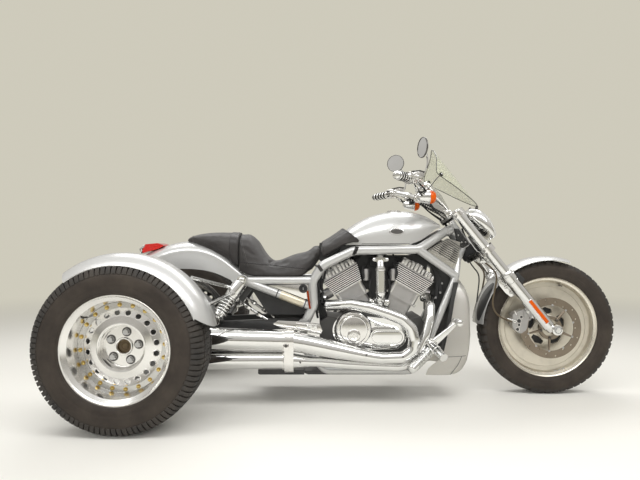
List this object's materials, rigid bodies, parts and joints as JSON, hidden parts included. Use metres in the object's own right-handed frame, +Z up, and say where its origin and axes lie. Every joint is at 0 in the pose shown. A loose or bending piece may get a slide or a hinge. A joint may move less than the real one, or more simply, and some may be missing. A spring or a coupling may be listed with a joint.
{
  "type": "motorized trike",
  "caption": "Long low V-twin cruiser trike with a raked fork, solid disc front wheel, looping exhaust and two wide car wheels behind under cycle fenders.",
  "frame": {"origin": "on the ground, under the middle of the bounding box", "axes": "+X forward, +Y to the rider's left, +Z up"},
  "size_m": [2.5179, 1.315, 1.2189],
  "materials": {
    "silver_paint": "light silver metallic paint",
    "black_paint": "satin black",
    "engine_silver": "silver cast alloy",
    "polished_alloy": "polished alloy",
    "cast_alloy": "satin cast alloy",
    "fork_alloy": "satin alloy",
    "brake_steel": "machined steel",
    "chrome": "polished chrome",
    "tyre": "road tyre",
    "black_rubber": "moulded rubber",
    "hose_rubber": "sheathed hose",
    "black_leather": "black leather",
    "black_plastic": "moulded black",
    "radiator_black": "dark fins",
    "clear_lens": "clear lens",
    "amber_lens": "amber lens",
    "screen": "pale smoke screen"
  },
  "bodies": {
    "chassis": {"airbox": "black_plastic", "axle_carrier": "black_paint", "battery_box": "black_plastic", "belly_tray": "black_paint", "crankcase": "engine_silver", "cylinder_front": "engine_silver", "cylinder_rear": "engine_silver", "engine_covers": "polished_alloy", "exhaust_front": "chrome", "exhaust_rear": "chrome", "fender_stays": "black_paint", "foot_controls": "chrome", "frame": "silver_paint", "frame_covers": "polished_alloy", "muffler_clamp": "polished_alloy", "mufflers": "chrome", "radiator": "radiator_black", "radiator_shroud": "silver_paint", "rear_fenders": "silver_paint", "seat_pillion": "black_leather", "seat_rider": "black_leather", "shocks": "chrome", "tail_body": "silver_paint", "tail_lamp": "clear_lens", "tank_cover": "silver_paint", "tank_pouch": "black_leather"},
    "fork": {"brake_hoses": "hose_rubber", "calipers": "cast_alloy", "fork_legs": "fork_alloy", "front_axle": "brake_steel", "front_fender": "silver_paint", "gauge_pod": "polished_alloy", "grips": "black_rubber", "hand_controls": "chrome", "handlebar": "chrome", "headlamp_lens": "clear_lens", "headlamp_shell": "polished_alloy", "indicator_lenses": "amber_lens", "indicators": "chrome", "mirrors": "chrome", "riser": "polished_alloy", "screen_mounts": "black_paint", "triple_clamps": "polished_alloy", "windscreen": "screen"},
    "front_wheel": {"front_rim": "cast_alloy", "front_tyre": "tyre", "front_rotors": "brake_steel"},
    "rear_wheel_right": {"rear_rim_right": "polished_alloy", "rear_tyre_right": "tyre", "rear_hub_right": "brake_steel"},
    "rear_wheel_left": {"rear_rim_left": "polished_alloy", "rear_tyre_left": "tyre", "rear_hub_left": "brake_steel"}
  },
  "joints": [
    {"name": "steering", "type": "hinge", "parent": "chassis", "child": "fork", "pos_m": [0.44772, 0, 0.84907], "axis": [-0.5592, 0, 0.829], "range_deg": [-35, 35]},
    {"name": "front_wheel_spin", "type": "hinge", "parent": "fork", "child": "front_wheel", "pos_m": [0.934, 0, 0.325], "axis": [0, 1, 0], "continuous": true},
    {"name": "rear_wheel_right_spin", "type": "hinge", "parent": "chassis", "child": "rear_wheel_right", "pos_m": [-0.934, -0.543, 0.325], "axis": [0, 1, 0], "continuous": true},
    {"name": "rear_wheel_left_spin", "type": "hinge", "parent": "chassis", "child": "rear_wheel_left", "pos_m": [-0.934, 0.543, 0.325], "axis": [0, 1, 0], "continuous": true}
  ]
}
